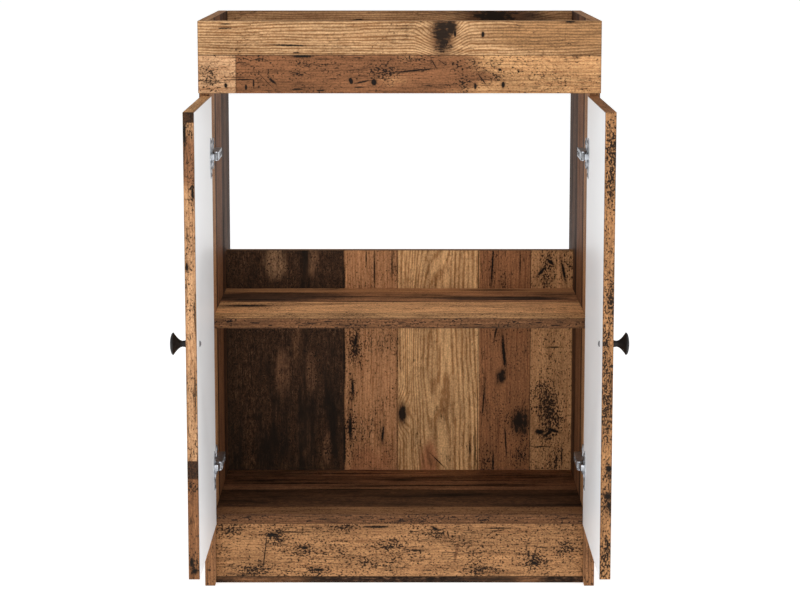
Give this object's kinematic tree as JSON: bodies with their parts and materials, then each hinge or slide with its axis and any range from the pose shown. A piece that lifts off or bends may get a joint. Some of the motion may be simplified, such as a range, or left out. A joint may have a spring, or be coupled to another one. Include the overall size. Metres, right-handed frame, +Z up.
{
  "type": "bathroom vanity base cabinet",
  "caption": "Washbasin base cabinet with an open top frame, a shelf, a bottom board, a low back board and two overlay doors on concealed cup hinges, standing open.",
  "frame": {"origin": "on the floor, under the middle of the box that holds the cabinet with both doors open at a right angle", "axes": "+X to the right seen from the front, +Y from the doors to the rear edges of the sides, +Z up"},
  "size_m": [0.6226, 0.673, 0.84],
  "materials": {
    "reclaimed_wood_board": "satin reclaimed-plank pattern on particle board",
    "door_board": "satin reclaimed-plank pattern outside, pale grey melamine inside",
    "beech_dowel": "raw",
    "black_knob": "matt black",
    "zinc_fitting": "zinc plated",
    "nickel_hinge": "nickel plated",
    "steel_screw": "zinc plated"
  },
  "bodies": {
    "carcass": {"left_side_panel": "reclaimed_wood_board", "right_side_panel": "reclaimed_wood_board", "front_rail": "reclaimed_wood_board", "rear_rail": "reclaimed_wood_board", "shelf": "reclaimed_wood_board", "bottom_panel": "reclaimed_wood_board", "kick_board": "reclaimed_wood_board", "back_panel": "reclaimed_wood_board", "cam_bolts": "zinc_fitting", "cam_locks": "zinc_fitting", "wood_dowels": "beech_dowel", "left_upper_hinge_plate": "nickel_hinge", "left_lower_hinge_plate": "nickel_hinge", "right_upper_hinge_plate": "nickel_hinge", "right_lower_hinge_plate": "nickel_hinge", "left_upper_hinge_arm": "nickel_hinge", "left_lower_hinge_arm": "nickel_hinge", "right_upper_hinge_arm": "nickel_hinge", "right_lower_hinge_arm": "nickel_hinge", "plate_screws": "steel_screw", "arm_screws": "steel_screw", "arm_pins": "steel_screw"},
    "left_links": {"left_upper_hinge_link": "nickel_hinge", "left_lower_hinge_link": "nickel_hinge"},
    "left_leaf": {"left_door": "door_board", "left_knob": "black_knob", "left_knob_screw": "steel_screw", "left_upper_hinge_cup": "nickel_hinge", "left_lower_hinge_cup": "nickel_hinge", "left_cup_screws": "steel_screw", "left_cup_pins": "steel_screw"},
    "right_links": {"right_upper_hinge_link": "nickel_hinge", "right_lower_hinge_link": "nickel_hinge"},
    "right_leaf": {"right_door": "door_board", "right_knob": "black_knob", "right_knob_screw": "steel_screw", "right_upper_hinge_cup": "nickel_hinge", "right_lower_hinge_cup": "nickel_hinge", "right_cup_screws": "steel_screw", "right_cup_pins": "steel_screw"}
  },
  "joints": [
    {"name": "left_link_swing", "type": "hinge", "parent": "carcass", "child": "left_links", "pos_m": [-0.266, -0.0425, 0.4143], "axis": [0, 0, -1], "range_deg": [-6, 53]},
    {"name": "left_door_swing", "type": "hinge", "parent": "left_links", "child": "left_leaf", "pos_m": [-0.27504, -0.0556, 0.4143], "axis": [0, 0, -1], "range_deg": [-142.75, 15.8]},
    {"name": "right_link_swing", "type": "hinge", "parent": "carcass", "child": "right_links", "pos_m": [0.266, -0.0425, 0.4143], "axis": [0, 0, 1], "range_deg": [-6, 53]},
    {"name": "right_door_swing", "type": "hinge", "parent": "right_links", "child": "right_leaf", "pos_m": [0.27504, -0.0556, 0.4143], "axis": [0, 0, 1], "range_deg": [-142.75, 15.8]}
  ],
  "couplings": [
    {"joint": "left_link_swing", "follows": "left_door_swing", "ratio": -0.36955},
    {"joint": "right_link_swing", "follows": "right_door_swing", "ratio": -0.36955}
  ]
}
